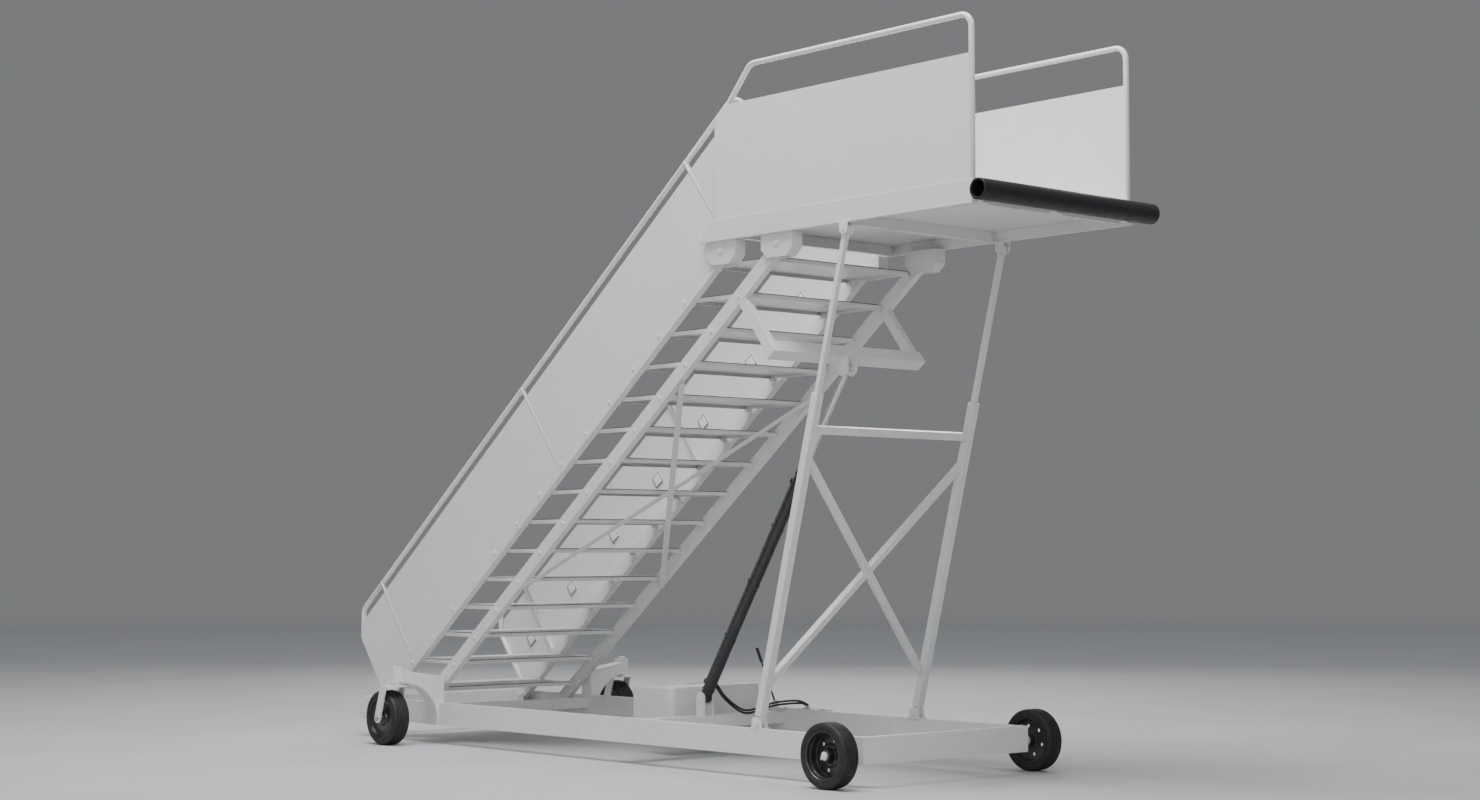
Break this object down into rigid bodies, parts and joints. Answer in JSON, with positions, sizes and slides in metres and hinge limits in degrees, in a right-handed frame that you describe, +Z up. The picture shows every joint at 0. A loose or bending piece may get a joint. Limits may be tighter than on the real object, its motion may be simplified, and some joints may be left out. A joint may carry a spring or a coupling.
{
  "type": "aircraft boarding stairs",
  "caption": "Towable boarding stairs: a level-keeping flight of treads between panelled handrails lifts a guarded platform over a wheeled frame with a hydraulic cylinder.",
  "frame": {"origin": "on the ground, under the middle of the whole object's bounding box", "axes": "+X from the foot of the stairs to the aircraft, along the length; +Y to the left of a person climbing, across the width; +Z up"},
  "size_m": [6.8207, 2.36, 4.648],
  "materials": {
    "painted_steel": "semi-gloss light warm grey paint",
    "panel_paint": "semi-gloss white paint on sheet",
    "rail_paint": "semi-gloss white paint on tube",
    "deck_paint": "grey paint with a black ribbed rubber mat on the treads",
    "bare_steel": "zinc-plated",
    "slider_steel": "semi-gloss paint, greased",
    "rod_chrome": "hard chrome",
    "cylinder_paint": "gloss black paint",
    "pipe_black": "black coated pipe",
    "hose_rubber": "matt black",
    "bumper_rubber": "matt black",
    "tyre_rubber": "matt black",
    "rim_paint": "black paint",
    "lamp_lens": "white diffuser",
    "lever_paint": "black paint with a moulded grip",
    "cap_plastic": "black plastic"
  },
  "bodies": {
    "chassis": {"chassis_rails": "painted_steel", "chassis_cross_members": "painted_steel", "caster_outriggers": "painted_steel", "stringer_foot_brackets": "painted_steel", "leg_foot_brackets": "painted_steel", "base_pivot_pins": "bare_steel", "hydraulic_tank": "painted_steel", "tank_filler_cap": "cap_plastic", "hand_pump": "painted_steel", "hydraulic_hoses": "hose_rubber", "wheel_axles": "bare_steel"},
    "lower_flight": {"lower_stringers": "painted_steel", "lower_tread_bolts": "bare_steel", "stringer_braces": "painted_steel", "cylinder_crossbeam": "painted_steel"},
    "upper_flight": {"upper_stringers": "painted_steel", "stair_side_panels": "panel_paint", "stair_handrails": "rail_paint", "step_lamps": "lamp_lens", "upper_tread_bolts": "bare_steel"},
    "tread_01": {"tread_01": "deck_paint"},
    "tread_02": {"tread_02": "deck_paint"},
    "tread_03": {"tread_03": "deck_paint"},
    "tread_04": {"tread_04": "deck_paint"},
    "tread_05": {"tread_05": "deck_paint"},
    "tread_06": {"tread_06": "deck_paint"},
    "tread_07": {"tread_07": "deck_paint"},
    "tread_08": {"tread_08": "deck_paint"},
    "tread_09": {"tread_09": "deck_paint"},
    "tread_10": {"tread_10": "deck_paint"},
    "tread_11": {"tread_11": "deck_paint"},
    "tread_12": {"tread_12": "deck_paint"},
    "tread_13": {"tread_13": "deck_paint"},
    "tread_14": {"tread_14": "deck_paint"},
    "tread_15": {"tread_15": "deck_paint"},
    "platform": {"platform_frame": "painted_steel", "platform_deck": "deck_paint", "linkage_brackets": "painted_steel", "platform_pins": "bare_steel", "leg_top_brackets": "painted_steel", "guard_rails": "rail_paint", "guard_panels": "panel_paint", "dock_bumper": "bumper_rubber"},
    "leg_frame": {"leg_outer_frame": "painted_steel"},
    "leg_tubes": {"leg_inner_tubes": "slider_steel"},
    "cylinder": {"cylinder_barrel": "cylinder_paint", "cylinder_pipe": "pipe_black", "cylinder_gland": "cylinder_paint"},
    "piston_rod": {"cylinder_rod": "rod_chrome"},
    "pump_lever": {"pump_lever": "lever_paint"},
    "fixed_wheel_right": {"fixed_tyre_right": "tyre_rubber", "fixed_rim_right": "rim_paint"},
    "caster_right": {"caster_fork_right": "rim_paint"},
    "caster_wheel_right": {"caster_tyre_right": "tyre_rubber", "caster_rim_right": "rim_paint"},
    "fixed_wheel_left": {"fixed_tyre_left": "tyre_rubber", "fixed_rim_left": "rim_paint"},
    "caster_left": {"caster_fork_left": "rim_paint"},
    "caster_wheel_left": {"caster_tyre_left": "tyre_rubber", "caster_rim_left": "rim_paint"}
  },
  "joints": [
    {"name": "lift", "type": "hinge", "parent": "chassis", "child": "lower_flight", "pos_m": [-2.52, 0, 0.28], "axis": [0, -1, 0], "range_deg": [-14, 0]},
    {"name": "upper_flight_pivot", "type": "hinge", "parent": "chassis", "child": "upper_flight", "pos_m": [-3.068, 0, 0.28], "axis": [0, -1, 0], "range_deg": [-14, 0]},
    {"name": "platform_pivot", "type": "hinge", "parent": "lower_flight", "child": "platform", "pos_m": [1.50249, 0, 3.42497], "axis": [0, -1, 0], "range_deg": [0, 14]},
    {"name": "tread_01_pivot", "type": "hinge", "parent": "lower_flight", "child": "tread_01", "pos_m": [-2.38923, 0, 0.38225], "axis": [0, -1, 0], "range_deg": [0, 14]},
    {"name": "tread_02_pivot", "type": "hinge", "parent": "lower_flight", "child": "tread_02", "pos_m": [-2.12043, 0, 0.5924], "axis": [0, -1, 0], "range_deg": [0, 14]},
    {"name": "tread_03_pivot", "type": "hinge", "parent": "lower_flight", "child": "tread_03", "pos_m": [-1.85163, 0, 0.80256], "axis": [0, -1, 0], "range_deg": [0, 14]},
    {"name": "tread_04_pivot", "type": "hinge", "parent": "lower_flight", "child": "tread_04", "pos_m": [-1.58284, 0, 1.01272], "axis": [0, -1, 0], "range_deg": [0, 14]},
    {"name": "tread_05_pivot", "type": "hinge", "parent": "lower_flight", "child": "tread_05", "pos_m": [-1.31404, 0, 1.22288], "axis": [0, -1, 0], "range_deg": [0, 14]},
    {"name": "tread_06_pivot", "type": "hinge", "parent": "lower_flight", "child": "tread_06", "pos_m": [-1.04525, 0, 1.43303], "axis": [0, -1, 0], "range_deg": [0, 14]},
    {"name": "tread_07_pivot", "type": "hinge", "parent": "lower_flight", "child": "tread_07", "pos_m": [-0.77645, 0, 1.64319], "axis": [0, -1, 0], "range_deg": [0, 14]},
    {"name": "tread_08_pivot", "type": "hinge", "parent": "lower_flight", "child": "tread_08", "pos_m": [-0.50765, 0, 1.85335], "axis": [0, -1, 0], "range_deg": [0, 14]},
    {"name": "tread_09_pivot", "type": "hinge", "parent": "lower_flight", "child": "tread_09", "pos_m": [-0.23886, 0, 2.06351], "axis": [0, -1, 0], "range_deg": [0, 14]},
    {"name": "tread_10_pivot", "type": "hinge", "parent": "lower_flight", "child": "tread_10", "pos_m": [0.02994, 0, 2.27366], "axis": [0, -1, 0], "range_deg": [0, 14]},
    {"name": "tread_11_pivot", "type": "hinge", "parent": "lower_flight", "child": "tread_11", "pos_m": [0.29873, 0, 2.48382], "axis": [0, -1, 0], "range_deg": [0, 14]},
    {"name": "tread_12_pivot", "type": "hinge", "parent": "lower_flight", "child": "tread_12", "pos_m": [0.56753, 0, 2.69398], "axis": [0, -1, 0], "range_deg": [0, 14]},
    {"name": "tread_13_pivot", "type": "hinge", "parent": "lower_flight", "child": "tread_13", "pos_m": [0.83632, 0, 2.90414], "axis": [0, -1, 0], "range_deg": [0, 14]},
    {"name": "tread_14_pivot", "type": "hinge", "parent": "lower_flight", "child": "tread_14", "pos_m": [1.10512, 0, 3.11429], "axis": [0, -1, 0], "range_deg": [0, 14]},
    {"name": "tread_15_pivot", "type": "hinge", "parent": "lower_flight", "child": "tread_15", "pos_m": [1.37392, 0, 3.32445], "axis": [0, -1, 0], "range_deg": [0, 14]},
    {"name": "leg_swing", "type": "hinge", "parent": "chassis", "child": "leg_frame", "pos_m": [1.35, 0, 0.345], "axis": [0, -1, 0], "range_deg": [-20.85, 0]},
    {"name": "leg_telescope", "type": "slide", "parent": "leg_frame", "child": "leg_tubes", "axis": [0.2537, 0, 0.9673], "range_m": [-0.7052, 0]},
    {"name": "cylinder_swing", "type": "hinge", "parent": "chassis", "child": "cylinder", "pos_m": [-0.02, 0, 0.415], "axis": [0, -1, 0], "range_deg": [-24.68, 0]},
    {"name": "cylinder_stroke", "type": "slide", "parent": "cylinder", "child": "piston_rod", "axis": [0.5428, 0, 0.8399], "range_m": [-0.4077, 0]},
    {"name": "pump_lever_pivot", "type": "hinge", "parent": "chassis", "child": "pump_lever", "pos_m": [-0.079, 0.722, 0.35], "axis": [0, -1, 0], "range_deg": [-12, 30]},
    {"name": "fixed_wheel_spin_right", "type": "hinge", "parent": "chassis", "child": "fixed_wheel_right", "pos_m": [2.214, -0.93, 0.203], "axis": [0, -1, 0], "continuous": true},
    {"name": "caster_swivel_right", "type": "hinge", "parent": "chassis", "child": "caster_right", "pos_m": [-2.31, -1.08, 0.46], "axis": [0, 0, 1], "continuous": true},
    {"name": "caster_wheel_spin_right", "type": "hinge", "parent": "caster_right", "child": "caster_wheel_right", "pos_m": [-2.405, -1.08, 0.203], "axis": [0, -1, 0], "continuous": true},
    {"name": "fixed_wheel_spin_left", "type": "hinge", "parent": "chassis", "child": "fixed_wheel_left", "pos_m": [2.214, 0.93, 0.203], "axis": [0, -1, 0], "continuous": true},
    {"name": "caster_swivel_left", "type": "hinge", "parent": "chassis", "child": "caster_left", "pos_m": [-2.31, 1.08, 0.46], "axis": [0, 0, 1], "continuous": true},
    {"name": "caster_wheel_spin_left", "type": "hinge", "parent": "caster_left", "child": "caster_wheel_left", "pos_m": [-2.405, 1.08, 0.203], "axis": [0, -1, 0], "continuous": true}
  ],
  "couplings": [
    {"joint": "upper_flight_pivot", "follows": "lift", "ratio": 1},
    {"joint": "platform_pivot", "follows": "lift", "ratio": -1},
    {"joint": "tread_01_pivot", "follows": "lift", "ratio": -1},
    {"joint": "tread_02_pivot", "follows": "lift", "ratio": -1},
    {"joint": "tread_03_pivot", "follows": "lift", "ratio": -1},
    {"joint": "tread_04_pivot", "follows": "lift", "ratio": -1},
    {"joint": "tread_05_pivot", "follows": "lift", "ratio": -1},
    {"joint": "tread_06_pivot", "follows": "lift", "ratio": -1},
    {"joint": "tread_07_pivot", "follows": "lift", "ratio": -1},
    {"joint": "tread_08_pivot", "follows": "lift", "ratio": -1},
    {"joint": "tread_09_pivot", "follows": "lift", "ratio": -1},
    {"joint": "tread_10_pivot", "follows": "lift", "ratio": -1},
    {"joint": "tread_11_pivot", "follows": "lift", "ratio": -1},
    {"joint": "tread_12_pivot", "follows": "lift", "ratio": -1},
    {"joint": "tread_13_pivot", "follows": "lift", "ratio": -1},
    {"joint": "tread_14_pivot", "follows": "lift", "ratio": -1},
    {"joint": "tread_15_pivot", "follows": "lift", "ratio": -1},
    {"joint": "leg_swing", "follows": "lift", "ratio": 1.4889},
    {"joint": "leg_telescope", "follows": "lift", "m_per_rad": 2.8857},
    {"joint": "cylinder_swing", "follows": "lift", "ratio": 1.7623},
    {"joint": "cylinder_stroke", "follows": "lift", "m_per_rad": 1.6685}
  ]
}
